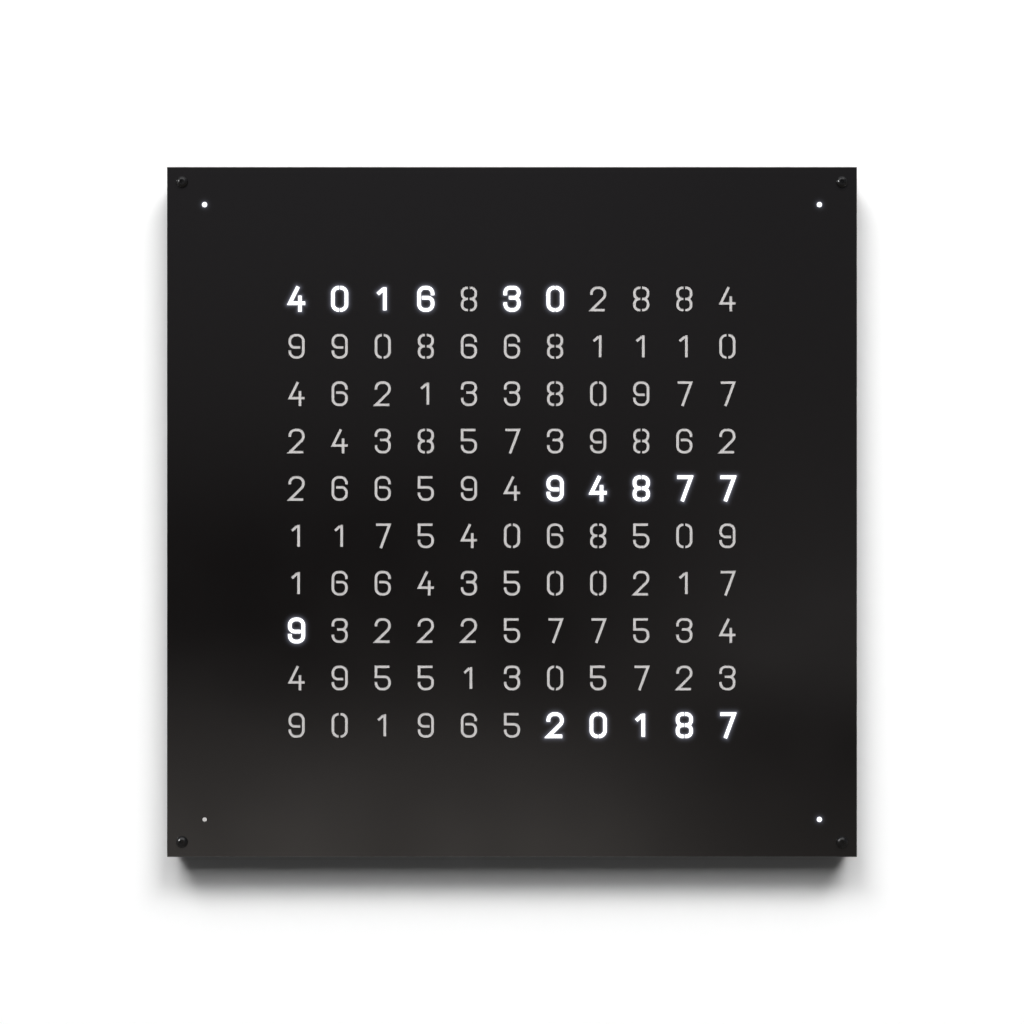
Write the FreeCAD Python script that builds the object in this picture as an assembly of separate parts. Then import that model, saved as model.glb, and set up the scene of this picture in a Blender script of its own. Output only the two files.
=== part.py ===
import FreeCAD
import Part
import math
import os

# Square wall clock. Its face is a steel sheet cut through with a grid of stencil numerals, and lamps
# behind the sheet light some of them. Millimetres. +X is right as seen from the front, +Y points at the
# wall and +Z is up. The origin is the centre of the back panel's rear face, which lies on the wall.

# Numeral grid
columns = 11
rows = 10
column_pitch = 28.1
row_pitch = 30.9
numeral_width = 10.6
numeral_height = 16.3
stroke_width = 1.8
stencil_bridge = 1.1
bowl_radius = 3.8

# Front panel, and the space round the light grid
panel_thickness = 2.0
panel_edge_break = 0.3
border_side = 51.45
border_top = 51.5
body_inset = 3.0

# Frame of four wooden rails
body_depth = 18.0
rail_width = 15.0
rebate_width = 7.0
dowel_diameter = 5.0
dowel_length = 20.0
dowel_from_wall = 6.0

# Back panel
back_thickness = 2.0
back_clearance = 0.5
back_screw_corner_distance = 24.5

# Diffuser and light grid
diffuser_thickness = 1.0
diffuser_clearance = 0.5
inlay_recess = 0.2
cell_wall = 2.0
grid_boss_radius = 3.5
grid_boss_bore_depth = 5.0
boss_columns_in = 2
boss_rows_in = 1

# Lamp strips, one behind each row
strip_height = 12.0
strip_thickness = 1.6
strip_overhang = 16.5
strip_end_gap = 1.5
strip_clearance = 0.2
lamp_side = 5.0
lamp_height = 1.6
plug_block_width = 12.0
plug_block_height = 8.0
plug_block_depth = 8.4
plug_block_gap = 2.5
ribbon_thickness = 1.0

# Minute lights in the corners
minute_hole_diameter = 3.0
minute_edge_distance = 24.5
minute_board_width = 12.0
minute_board_length = 24.0
minute_tube_radius = 5.0
minute_tube_bore_radius = 3.2
minute_foot_length = 17.6
minute_foot_thickness = 5.0
minute_foot_floor = 0.5
minute_screw_distance = 8.8
minute_socket_distance = 15.0
minute_lamp_width = 3.5
minute_lamp_height = 2.8

# Sockets and leads
socket_width = 5.0
socket_length = 6.0
socket_depth = 3.4
lead_radius = 1.0
lead_bend_radius = 7.5
lead_run_spacing = 4.0
lead_run_above_recess = 3.0
lead_clip_width = 6.0
lead_clip_wall = 0.7
lead_clip_spacing = 80.0

# Corner screws of the front panel: button heads with a hexagon socket, in brass inserts
panel_screw_inset = 9.8
panel_screw_radius = 1.95
panel_screw_length = 10.0
panel_screw_head_radius = 3.8
panel_screw_head_height = 2.2
panel_screw_head_rim = 0.5
panel_screw_crown_radius = 1.9
panel_screw_dome_rise = 0.3
panel_screw_key_size = 2.5
panel_screw_key_depth = 1.3
panel_screw_hole_clearance = 0.3
insert_radius = 3.1
insert_length = 8.5

# Countersunk screws: short machine screws, and wood screws round the back
machine_screw_radius = 1.45
machine_screw_length = 6.0
wood_screw_radius = 1.4
wood_screw_length = 12.0
countersunk_head_radius = 2.8
countersunk_head_height = 1.4
driver_slot_width = 0.8
driver_slot_length = 3.2
driver_slot_depth = 0.7

# Keyhole hangers
hanger_spacing = 300.0
hanger_drop = 34.0
keyhole_entry_radius = 4.5
keyhole_slot_radius = 2.3
keyhole_slot_length = 11.0
hanger_cup_wall = 1.0
hanger_cup_side_room = 9.0
hanger_cup_end_room = 0.5
hanger_cup_depth = 8.0
hanger_ear_length = 8.0
hanger_ear_height = 12.0
rivet_radius = 1.6
rivet_head_radius = 2.8
rivet_head_height = 1.2

# Control board, behind the lower right of the face
board_length = 126.0
board_corner_gap = 24.5
board_height = 34.0
board_rail_gap = 3.0
board_thickness = 1.6
standoff_height = 4.8
standoff_radius = 2.75
standoff_end_distance = 16.0
standoff_edge_distance = 4.0
board_screw_length = 4.4
board_screw_head_radius = 2.75
board_screw_head_height = 2.0

# Set buttons and their switches, on the rear of the control board
button_spacing = 16.0
button_first = 42.0
button_height = 12.0
button_radius = 4.0
button_recess = 0.5
button_flange_radius = 5.0
button_flange_thickness = 0.8
button_stem_radius = 1.6
button_stem_length = 2.0
button_travel = 0.8
button_clearance = 0.15
button_rest_gap = 0.1
button_stem_end_gap = 0.4
switch_side = 6.0
switch_clearance = 0.2

# Power inlet and its recess
jack_length = 12.0
jack_width = 6.4
jack_height = 6.2
jack_bore_radius = 1.95
jack_bore_depth = 9.0
jack_pin_radius = 0.65
jack_pin_recess = 0.8
jack_overhang = 5.9
jack_mouth_clearance = 0.4
recess_length = 80.0
recess_height = 14.0
recess_plug_room = 3.7
recess_wall = 1.2
recess_lip_setback = 0.3
recess_clearance = 0.2
recess_ear_length = 9.0
recess_ear_height = 10.0
recess_ear_thickness = 4.0
channel_width = 10.0
channel_depth = 8.0

# Parts on the front of the control board
cell_radius = 10.0
cell_thickness = 3.2
cell_holder_wall = 1.5
cell_holder_floor = 0.8
processor_side = 12.0
processor_height = 1.4
driver_chip_length = 10.0
driver_chip_width = 6.0
driver_chip_height = 1.7
driver_chips = 3
part_spacing = 1.0
chip_spacing = 2.5
crystal_length = 10.0
crystal_radius = 1.6
capacitor_radius = 3.15
capacitor_height = 5.8

fit_gap = 0.05

# Levels across the depth, from the wall forward
back_front_y = -back_thickness
strip_front_y = back_front_y - strip_thickness
lamp_front_y = strip_front_y - lamp_height
plug_block_front_y = strip_front_y - plug_block_depth
body_front_y = -body_depth
diffuser_back_y = body_front_y + diffuser_thickness
panel_front_y = body_front_y - panel_thickness
board_rear_y = back_front_y - standoff_height
board_front_y = board_rear_y - board_thickness
lead_y = strip_front_y - socket_depth / 2
button_flange_front_y = back_front_y - button_rest_gap - button_flange_thickness

# Half sizes, from the light grid outward
grid_half_x = (columns * column_pitch + cell_wall) / 2
grid_half_z = (rows * row_pitch + cell_wall) / 2
inner_half_x = grid_half_x + border_side
inner_half_z = grid_half_z + border_top
rebate_half_x = inner_half_x + rebate_width
rebate_half_z = inner_half_z + rebate_width
body_half_x = inner_half_x + rail_width
body_half_z = inner_half_z + rail_width
panel_half_x = body_half_x + body_inset
panel_half_z = body_half_z + body_inset
back_half_x = rebate_half_x - back_clearance
back_half_z = rebate_half_z - back_clearance

# Places on the face and in the border
panel_screw_x = panel_half_x - panel_screw_inset
panel_screw_z = panel_half_z - panel_screw_inset
minute_x = panel_half_x - minute_edge_distance
minute_z = panel_half_z - minute_edge_distance
hanger_z = inner_half_z - hanger_drop
board_bottom = -inner_half_z + board_rail_gap
board_top = board_bottom + board_height
board_right = minute_x - board_corner_gap
board_left = board_right - board_length
button_z = board_bottom + button_height
jack_z = button_z
jack_y = board_front_y - jack_height / 2
jack_face_x = board_left - jack_overhang
recess_right = jack_face_x - fit_gap - recess_wall
recess_left = recess_right - recess_length
recess_top = jack_z + recess_height / 2
recess_bottom = jack_z - recess_height / 2
recess_floor_y = jack_y - recess_plug_room
ribbon_x = grid_half_x + plug_block_gap + plug_block_width / 2
CORNERS = {"top_left": (-1, 1), "top_right": (1, 1), "bottom_left": (-1, -1), "bottom_right": (1, -1)}


def block(x0, x1, y0, y1, z0, z1):
    """Rectangular block between two corners."""
    return Part.makeBox(x1 - x0, y1 - y0, z1 - z0, FreeCAD.Vector(x0, y0, z0))


def rod(radius, start, end):
    """Round rod from one point to another."""
    a = FreeCAD.Vector(*start)
    along = FreeCAD.Vector(*end) - a
    return Part.makeCylinder(radius, along.Length, a, along)


def bore_y(radius, x, z, y0, y1):
    """Round rod along the depth, between two levels."""
    return rod(radius, (x, y0, z), (x, y1, z))


def column_x(column):
    """Centre of a numeral column, counted from the left."""
    return (column - (columns - 1) / 2) * column_pitch


def row_z(row):
    """Centre of a numeral row, counted from the top."""
    return ((rows - 1) / 2 - row) * row_pitch


def moved(shape, x, z):
    """Copy of a shape moved in the plane of the face."""
    copy = shape.copy()
    copy.translate(FreeCAD.Vector(x, 0, z))
    return copy


def stroke(points, radii, y):
    """Flat outline of one cut: a line of the stroke's width along the points, with butt ends.

    Each inner point has the bend radius of the line's centre there, or 0 for a sharp corner.
    """
    half = stroke_width / 2
    steps = [(b[0] - a[0], b[1] - a[1]) for a, b in zip(points, points[1:])]
    ways = [(dx / math.hypot(dx, dz), dz / math.hypot(dx, dz)) for dx, dz in steps]
    last = len(points) - 1

    def vector(p):
        return FreeCAD.Vector(p[0], y, p[1])

    def side_edges(side):
        """Pieces of one long side, from the first point to the last."""
        edges = []
        dx, dz = ways[0]
        here = (points[0][0] - side * half * dz, points[0][1] + side * half * dx)
        for i in range(1, last):
            (ax, az), (bx, bz) = ways[i - 1], ways[i]
            turn = math.atan2(ax * bz - az * bx, ax * bx + az * bz)
            shift = side * half * math.tan(turn / 2)
            px, pz = points[i]
            corner = (px - side * half * az - shift * ax, pz + side * half * ax - shift * az)
            bend = radii[i - 1] - side * math.copysign(half, turn)
            if radii[i - 1] == 0 or bend <= 0:
                edges.append(Part.makeLine(vector(here), vector(corner)))
                here = corner
                continue
            cut = bend * math.tan(abs(turn) / 2)
            enter = (corner[0] - cut * ax, corner[1] - cut * az)
            leave = (corner[0] + cut * bx, corner[1] + cut * bz)
            centre = (
                enter[0] - math.copysign(bend, turn) * az,
                enter[1] + math.copysign(bend, turn) * ax,
            )
            reach = bend / math.hypot(corner[0] - centre[0], corner[1] - centre[1])
            middle = (
                centre[0] + (corner[0] - centre[0]) * reach,
                centre[1] + (corner[1] - centre[1]) * reach,
            )
            if math.dist(here, enter) > fit_gap / 10:
                edges.append(Part.makeLine(vector(here), vector(enter)))
            edges.append(Part.Arc(vector(enter), vector(middle), vector(leave)).toShape())
            here = leave
        dx, dz = ways[-1]
        end = (points[last][0] - side * half * dz, points[last][1] + side * half * dx)
        edges.append(Part.makeLine(vector(here), vector(end)))
        first = (points[0][0] - side * half * ways[0][1], points[0][1] + side * half * ways[0][0])
        return edges, first, end

    left, left_start, left_end = side_edges(1)
    right, right_start, right_end = side_edges(-1)
    caps = [
        Part.makeLine(vector(left_start), vector(right_start)),
        Part.makeLine(vector(left_end), vector(right_end)),
    ]
    return Part.Wire(Part.__sortEdges__(left + right + caps))


def numeral_cuts(y):
    """Outlines of the cuts of each numeral, 0 to 9, about the middle of its cell."""
    a = (numeral_width - stroke_width) / 2
    b = (numeral_height - stroke_width) / 2
    g = stencil_bridge / 2
    r = min(bowl_radius, a - g)
    hook = b - r - stroke_width / 2
    bar = 0.1 * b
    half = stroke_width / 2
    small = min(r, (b - half) / 2)

    def turned(points):
        """The same line after half a turn."""
        return [(-x, -z) for x, z in points]

    left_zero = [(-g, b), (-a, b), (-a, -b), (-g, -b)]
    six = [(a, hook), (a, b), (-a, b), (-a, -b), (a, -b), (a, bar), (-a + half + 2 * g, bar)]
    left_eight = [(-g, b), (-a, b), (-a, 0), (-g, 0)]
    left_eight_foot = [(-g, 0), (-a, 0), (-a, -b), (-g, -b)]
    lines = {
        0: [[(left_zero, (r, r))], [(turned(left_zero), (r, r))]],
        1: [[([(0.3 * a, b), (0.3 * a, -b)], ()), ([(-0.7 * a, 0.45 * b), (0.3 * a - half, b - half)], ())]],
        2: [[([(-a, hook), (-a, b), (a, b), (a, 0.2 * b), (-a, -b), (a, -b)], (r, r, r, 0))]],
        3: [
            [
                ([(-a, hook), (-a, b), (a, b), (a, bar), (-0.4 * a, bar)], (small, small, small)),
                ([(0, bar), (a, bar), (a, -b), (-a, -b), (-a, -hook)], (small, r, r)),
            ]
        ],
        4: [
            [
                ([(0.2 * a, b + half / 2), (-a, -0.4 * b), (a + half, -0.4 * b)], (0,)),
                ([(0.5 * a, 0.25 * b), (0.5 * a, -b - half)], ()),
            ]
        ],
        5: [[([(a, b), (-a, b), (-a, bar), (a, bar), (a, -b), (-a, -b), (-a, -hook)], (0, 0, small, r, r))]],
        6: [[(six, (r, r, r, r, small))]],
        7: [[([(-a, b), (a, b), (-0.3 * a, -b - half)], (0,))]],
        8: [
            [(left_eight, (small, small)), (left_eight_foot, (small, small))],
            [(turned(left_eight_foot), (small, small)), (turned(left_eight), (small, small))],
        ],
        9: [[(turned(six), (r, r, r, r, small))]],
    }
    cuts = {}
    for numeral, groups in lines.items():
        wires = []
        for group in groups:
            faces = [Part.Face(stroke(points, radii, y)) for points, radii in group]
            face = faces[0].fuse(faces[1:]).removeSplitter().Faces[0] if len(faces) > 1 else faces[0]
            wires.append(face.OuterWire)
        cuts[numeral] = wires
    return cuts


def numeral_at(column, row):
    """Which numeral a cell shows: the cubes of the cells' places, cast out by a prime, give an even mix."""
    place = row * columns + column + 7
    return place**3 % 113 % 10


def rectangle(x0, x1, z0, z1, y):
    """Closed rectangular outline across the depth."""
    corners = [FreeCAD.Vector(x, y, z) for x, z in ((x0, z0), (x1, z0), (x1, z1), (x0, z1), (x0, z0))]
    return Part.makePolygon(corners)


def circle(x, z, radius, y):
    """Round outline across the depth."""
    return Part.Wire(Part.makeCircle(radius, FreeCAD.Vector(x, y, z), FreeCAD.Vector(0, 1, 0)))


def sheet(outlines, depth):
    """Flat sheet: the first outline with the others as holes, thickened along the depth."""
    return Part.makeFace(outlines, "Part::FaceMakerBullseye").extrude(FreeCAD.Vector(0, depth, 0))


def front_panel():
    """Steel sheet with the numerals, minute holes and screw holes cut through it."""
    outlines = [rectangle(-panel_half_x, panel_half_x, -panel_half_z, panel_half_z, panel_front_y)]
    cuts = numeral_cuts(panel_front_y)
    for row in range(rows):
        for column in range(columns):
            for wire in cuts[numeral_at(column, row)]:
                outlines.append(moved(wire, column_x(column), row_z(row)))
    hole = panel_screw_radius + panel_screw_hole_clearance
    for side, level in CORNERS.values():
        outlines.append(circle(side * minute_x, level * minute_z, minute_hole_diameter / 2, panel_front_y))
        outlines.append(circle(side * panel_screw_x, level * panel_screw_z, hole, panel_front_y))
    panel = sheet(outlines, panel_thickness)

    def on_rim(p):
        """Whether an edge's middle lies on the outer edge of the front face."""
        outside = abs(p.x) > panel_half_x - fit_gap or abs(p.z) > panel_half_z - fit_gap
        return outside and p.y < panel_front_y + fit_gap

    return panel.makeChamfer(panel_edge_break, [e for e in panel.Edges if on_rim(e.CenterOfMass)])


def hexagon(x, z, across, y0, y1):
    """Hexagonal bar along the depth."""
    reach = across / math.sqrt(3)
    angles = [math.radians(60 * k) for k in range(7)]
    points = [FreeCAD.Vector(x + reach * math.cos(t), y0, z + reach * math.sin(t)) for t in angles]
    return Part.Face(Part.makePolygon(points)).extrude(FreeCAD.Vector(0, y1 - y0, 0))


def panel_screw(x, z):
    """Button-head screw: a domed head with a hexagon socket, over a plain shank."""
    rim_y = panel_front_y - panel_screw_head_rim
    top_y = panel_front_y - panel_screw_head_height
    outline = [
        FreeCAD.Vector(x, top_y, z),
        FreeCAD.Vector(x + panel_screw_crown_radius, top_y, z),
        FreeCAD.Vector(x + panel_screw_head_radius, rim_y, z),
        FreeCAD.Vector(x + panel_screw_head_radius, panel_front_y, z),
        FreeCAD.Vector(x, panel_front_y, z),
    ]
    chord = outline[2] - outline[1]
    outward = FreeCAD.Vector(chord.y, -chord.x, 0) / chord.Length
    bulge = (outline[1] + outline[2]) / 2 + outward * panel_screw_dome_rise
    edges = [Part.makeLine(a, b) for a, b in zip(outline, outline[1:] + outline[:1])]
    edges[1] = Part.Arc(outline[1], bulge, outline[2]).toShape()
    head = Part.Face(Part.Wire(edges)).revolve(FreeCAD.Vector(x, 0, z), FreeCAD.Vector(0, 1, 0), 360)
    shank = bore_y(panel_screw_radius, x, z, panel_front_y, panel_front_y + panel_screw_length)
    socket = hexagon(x, z, panel_screw_key_size, top_y, top_y + panel_screw_key_depth)
    return head.fuse(shank).cut(socket).removeSplitter()


def countersunk_screw(x, z, radius, length):
    """Countersunk screw driven in from the rear, with a cross slot in its flat head."""
    cone = Part.makeCone(
        countersunk_head_radius,
        radius,
        countersunk_head_height,
        FreeCAD.Vector(x, 0, z),
        FreeCAD.Vector(0, -1, 0),
    )
    shank = bore_y(radius, x, z, -countersunk_head_height, -length)
    long, wide = driver_slot_length / 2, driver_slot_width / 2
    cross = block(x - long, x + long, -driver_slot_depth, 0, z - wide, z + wide)
    cross = cross.fuse(block(x - wide, x + wide, -driver_slot_depth, 0, z - long, z + long))
    return cone.fuse(shank).cut(cross).removeSplitter()


def countersink(x, z, radius, depth):
    """Space for a countersunk screw, a little larger than the screw all round."""
    cone = Part.makeCone(
        countersunk_head_radius + fit_gap,
        radius + fit_gap,
        countersunk_head_height,
        FreeCAD.Vector(x, 0, z),
        FreeCAD.Vector(0, -1, 0),
    )
    return cone.fuse(bore_y(radius + fit_gap, x, z, 0, -depth))


def back_screw_places():
    """Wood screws round the back panel: five along the top and bottom, three up each side."""
    x = (inner_half_x + back_half_x) / 2
    z = (inner_half_z + back_half_z) / 2
    reach_x = x - back_screw_corner_distance
    reach_z = z - back_screw_corner_distance
    along = [(k * reach_x / 2, side * z) for side in (-1, 1) for k in (-2, -1, 0, 1, 2)]
    upright = [(side * x, k * reach_z) for side in (-1, 1) for k in (-1, 0, 1)]
    return along + upright


def grid_boss_places():
    """Crossings of the light grid's walls that hold its fixing screws."""
    xs = [(i - columns / 2) * column_pitch for i in (boss_columns_in, columns - boss_columns_in)]
    zs = [(j - rows / 2) * row_pitch for j in (boss_rows_in, rows // 2, rows - boss_rows_in)]
    return [(x, z) for x in xs for z in zs]


def ear_screw_places():
    """Screws of the power recess, one in the ear at each end of it."""
    left = recess_left - recess_wall - recess_ear_length / 2
    right = recess_right + recess_wall + recess_ear_length / 2
    return [(left, jack_z), (right, jack_z)]


def minute_screw_places():
    """Screws that hold the minute boards and the feet of their light tubes."""
    return [(side * (minute_x - minute_screw_distance), level * minute_z) for side, level in CORNERS.values()]


def machine_screw_places():
    """Every short countersunk screw through the back panel."""
    return grid_boss_places() + ear_screw_places() + minute_screw_places()


def rivet_places():
    """Rivets in the ears of the hanger cups."""
    reach = hanger_cup_side_room + hanger_cup_wall + hanger_ear_length / 2
    return [(side * hanger_spacing / 2 + end * reach, hanger_z) for side in (-1, 1) for end in (-1, 1)]


def button_places():
    """Centres of the four set buttons."""
    return [(board_left + button_first + k * button_spacing, button_z) for k in range(4)]


def standoff_places():
    """Pressed-in standoffs under the corners of the control board."""
    xs = (board_left + standoff_end_distance, board_right - standoff_end_distance)
    zs = (board_bottom + standoff_edge_distance, board_top - standoff_edge_distance)
    return [(x, z) for x in xs for z in zs]


def keyhole(x):
    """Keyhole through the back panel: a round entry with a slot above it."""
    top = hanger_z + keyhole_slot_length / 2
    entry = top - keyhole_slot_length
    hole = bore_y(keyhole_entry_radius, x, entry, -back_thickness, 0)
    slot = block(x - keyhole_slot_radius, x + keyhole_slot_radius, -back_thickness, 0, entry, top)
    return hole.fuse(slot).fuse(bore_y(keyhole_slot_radius, x, top, -back_thickness, 0))


def recess_opening(grow, y0, y1):
    """Plan of the power recess with its cable channel, grown by an amount, between two levels."""
    pocket = block(recess_left - grow, recess_right + grow, y0, y1, recess_bottom - grow, recess_top + grow)
    bottom = -back_half_z
    channel = block(recess_left - grow, recess_left + channel_width + grow, y0, y1, bottom, recess_bottom)
    return pocket.fuse(channel).removeSplitter()


def back_panel():
    """Steel back sheet with its screw holes, keyholes, button holes and the recess cut-out."""
    panel = block(-back_half_x, back_half_x, -back_thickness, 0, -back_half_z, back_half_z)
    tools = [countersink(x, z, wood_screw_radius, back_thickness) for x, z in back_screw_places()]
    tools += [countersink(x, z, machine_screw_radius, back_thickness) for x, z in machine_screw_places()]
    tools += [keyhole(side * hanger_spacing / 2) for side in (-1, 1)]
    tools += [bore_y(rivet_radius + fit_gap, x, z, -back_thickness, 0) for x, z in rivet_places()]
    tools += [bore_y(button_radius + button_clearance, x, z, -back_thickness, 0) for x, z in button_places()]
    tools.append(recess_opening(recess_wall + recess_clearance, -back_thickness, 0))
    return panel.cut(tools)


def rails():
    """Four rails: top and bottom run through, and the sides stand between them on dowels."""
    rebate = block(-rebate_half_x, rebate_half_x, -back_thickness, 0, -rebate_half_z, rebate_half_z)
    tools = [rebate]
    for x, z in back_screw_places():
        tools.append(bore_y(wood_screw_radius + fit_gap, x, z, 0, -wood_screw_length - fit_gap))
    for side, level in CORNERS.values():
        x, z = side * panel_screw_x, level * panel_screw_z
        insert_end_y = body_front_y + insert_length + fit_gap
        tools.append(bore_y(insert_radius + fit_gap, x, z, body_front_y, insert_end_y))
        tools.append(dowel(side, level, fit_gap))
    tools.append(
        block(recess_left, recess_left + channel_width, -channel_depth, 0, -body_half_z, -inner_half_z)
    )
    top = block(-body_half_x, body_half_x, body_front_y, 0, inner_half_z, body_half_z)
    bottom = block(-body_half_x, body_half_x, body_front_y, 0, -body_half_z, -inner_half_z)
    right = block(inner_half_x, body_half_x, body_front_y, 0, -inner_half_z, inner_half_z)
    left = block(-body_half_x, -inner_half_x, body_front_y, 0, -inner_half_z, inner_half_z)
    names = {"rail_top": top, "rail_bottom": bottom, "rail_left": left, "rail_right": right}
    return {name: rail.cut(tools) for name, rail in names.items()}


def dowel(side, level, grow):
    """Dowel up the middle of a side rail into the top or bottom rail, grown by an amount."""
    x = side * (inner_half_x + rail_width / 2)
    reach = dowel_length / 2 + grow
    low, high = level * (inner_half_z - reach), level * (inner_half_z + reach)
    return rod(dowel_diameter / 2 + grow, (x, -dowel_from_wall, low), (x, -dowel_from_wall, high))


def panel_insert(x, z):
    """Brass threaded insert let into the front of a rail."""
    outer = bore_y(insert_radius, x, z, body_front_y, body_front_y + insert_length)
    return outer.cut(bore_y(panel_screw_radius + fit_gap, x, z, body_front_y, 0))


def diffuser_sheet():
    """Opal sheet behind the front panel, with raised figures that fill the panel's cuts nearly flush."""
    half_x = inner_half_x - diffuser_clearance
    half_z = inner_half_z - diffuser_clearance
    back = block(-half_x, half_x, body_front_y, diffuser_back_y, -half_z, half_z)
    inlay_front_y = panel_front_y + inlay_recess
    depth = FreeCAD.Vector(0, body_front_y - inlay_front_y, 0)
    shapes = {
        numeral: [Part.Face(wire.makeOffset2D(-fit_gap)).extrude(depth) for wire in wires]
        for numeral, wires in numeral_cuts(inlay_front_y).items()
    }
    raised = [
        moved(shape, column_x(column), row_z(row))
        for row in range(rows)
        for column in range(columns)
        for shape in shapes[numeral_at(column, row)]
    ]
    pin_radius = minute_hole_diameter / 2 - fit_gap
    for side, level in CORNERS.values():
        raised.append(bore_y(pin_radius, side * minute_x, level * minute_z, inlay_front_y, body_front_y))
    return back.fuse(raised)


def light_grid():
    """Egg-crate that keeps each lamp's light behind its own numeral."""
    outlines = [rectangle(-grid_half_x, grid_half_x, -grid_half_z, grid_half_z, diffuser_back_y)]
    half_x = (column_pitch - cell_wall) / 2
    half_z = (row_pitch - cell_wall) / 2
    for row in range(rows):
        for column in range(columns):
            x, z = column_x(column), row_z(row)
            outlines.append(rectangle(x - half_x, x + half_x, z - half_z, z + half_z, diffuser_back_y))
    grid = sheet(outlines, back_front_y - diffuser_back_y)
    bosses = grid_boss_places()
    grid = grid.fuse([bore_y(grid_boss_radius, x, z, diffuser_back_y, back_front_y) for x, z in bosses])
    tools = []
    for row in range(rows):
        z = row_z(row)
        reach = strip_height / 2 + strip_clearance
        front = strip_front_y - strip_clearance
        tools.append(block(-grid_half_x + cell_wall, grid_half_x, front, back_front_y, z - reach, z + reach))
    bore_end = back_front_y - grid_boss_bore_depth
    tools += [bore_y(machine_screw_radius + fit_gap, x, z, back_front_y, bore_end) for x, z in bosses]
    return grid.cut(tools).removeSplitter()


def lamp_strip(row):
    """Narrow circuit board behind one row of numerals, stuck to the back panel."""
    z = row_z(row)
    left = -grid_half_x + cell_wall + strip_end_gap
    right = grid_half_x + strip_overhang
    return block(left, right, strip_front_y, back_front_y, z - strip_height / 2, z + strip_height / 2)


def row_lamps():
    """Square lamps, one in the middle of each cell."""
    half = lamp_side / 2
    lamps = []
    for row in range(rows):
        for column in range(columns):
            x, z = column_x(column), row_z(row)
            lamps.append(block(x - half, x + half, lamp_front_y, strip_front_y, z - half, z + half))
    return lamps


def strip_plug_blocks():
    """Connectors that join each lamp strip to the ribbon."""
    half_x, half_z = plug_block_width / 2, plug_block_height / 2
    return [
        block(
            ribbon_x - half_x,
            ribbon_x + half_x,
            plug_block_front_y,
            strip_front_y,
            row_z(row) - half_z,
            row_z(row) + half_z,
        )
        for row in range(rows)
    ]


def ribbon_socket_place():
    """Lower and upper ends of the ribbon's socket on the control board."""
    middle = (board_bottom + board_top) / 2
    return middle - plug_block_height / 2, middle + plug_block_height / 2


def ribbon():
    """Flat ribbon that runs down the connectors and ends over its socket on the control board."""
    half = plug_block_width / 2
    bottom, _ = ribbon_socket_place()
    top = row_z(0) + plug_block_height / 2
    front = plug_block_front_y - ribbon_thickness
    return block(ribbon_x - half, ribbon_x + half, front, plug_block_front_y, bottom, top)


def minute_board(side, level):
    """Small board in a corner of the case, with one lamp behind the minute hole."""
    outer = side * (minute_x + minute_board_width / 2)
    inner = outer - side * minute_board_length
    z = level * minute_z
    half = minute_board_width / 2
    board = block(min(outer, inner), max(outer, inner), strip_front_y, back_front_y, z - half, z + half)
    x = side * (minute_x - minute_screw_distance)
    return board.cut(bore_y(machine_screw_radius + fit_gap, x, z, back_front_y, strip_front_y))


def minute_lamp(side, level):
    """Lamp on a minute board."""
    x, z = side * minute_x, level * minute_z
    half_x, half_z = minute_lamp_width / 2, minute_lamp_height / 2
    return block(x - half_x, x + half_x, lamp_front_y, strip_front_y, z - half_z, z + half_z)


def minute_tube(side, level):
    """Light tube on a foot: it stands on the minute board and reaches forward to the diffuser."""
    x, z = side * minute_x, level * minute_z
    outer = x + side * minute_board_width / 2
    inner = outer - side * minute_foot_length
    half = minute_board_width / 2
    foot_front = strip_front_y - minute_foot_thickness
    foot = block(min(outer, inner), max(outer, inner), foot_front, strip_front_y, z - half, z + half)
    tube = foot.fuse(bore_y(minute_tube_radius, x, z, diffuser_back_y, strip_front_y))
    tube = tube.cut(bore_y(minute_tube_bore_radius, x, z, diffuser_back_y, strip_front_y))
    screw_x = side * (minute_x - minute_screw_distance)
    bore_end = foot_front + minute_foot_floor
    tube = tube.cut(bore_y(machine_screw_radius + fit_gap, screw_x, z, strip_front_y, bore_end))
    return tube.removeSplitter()


def lead_runs():
    """Route of each minute light's lead, as points in the plane of the back, and its sockets' places."""
    x = minute_x - minute_socket_distance
    start = minute_z - socket_length / 2
    low_run = recess_top + recess_wall + recess_clearance + lead_run_above_recess
    right_end = board_right + fit_gap
    left_end = board_left - fit_gap
    high_entry = board_top - socket_length / 2
    low_entry = high_entry - socket_length - lead_run_spacing
    return {
        "top_left": [(-x, start), (-x, low_run + lead_run_spacing), (left_end, low_run + lead_run_spacing)],
        "bottom_left": [(-x, -start), (-x, low_run), (left_end, low_run)],
        "top_right": [(x, start), (x, high_entry), (right_end, high_entry)],
        "bottom_right": [(x, -start), (x, low_entry), (right_end, low_entry)],
    }


def minute_lead(route):
    """Round lead along a route with one rounded corner."""
    (ax, az), (bx, bz), (cx, cz) = route
    way_in = math.copysign(1, bz - az)
    way_out = math.copysign(1, cx - bx)
    bend = lead_bend_radius
    enter = FreeCAD.Vector(bx, lead_y, bz - way_in * bend)
    leave = FreeCAD.Vector(bx + way_out * bend, lead_y, bz)
    slack = bend * (1 - math.sqrt(0.5))
    middle = FreeCAD.Vector(bx + way_out * slack, lead_y, bz - way_in * slack)
    start = FreeCAD.Vector(ax, lead_y, az)
    end = FreeCAD.Vector(cx, lead_y, cz)
    edges = [Part.makeLine(start, enter), Part.Arc(enter, middle, leave).toShape()]
    if (end - leave).Length > fit_gap:
        edges.append(Part.makeLine(leave, end))
    path = Part.Wire(edges)
    section = Part.Wire(Part.makeCircle(lead_radius, start, FreeCAD.Vector(0, 0, way_in)))
    return path.makePipeShell([section], True, False)


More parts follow.
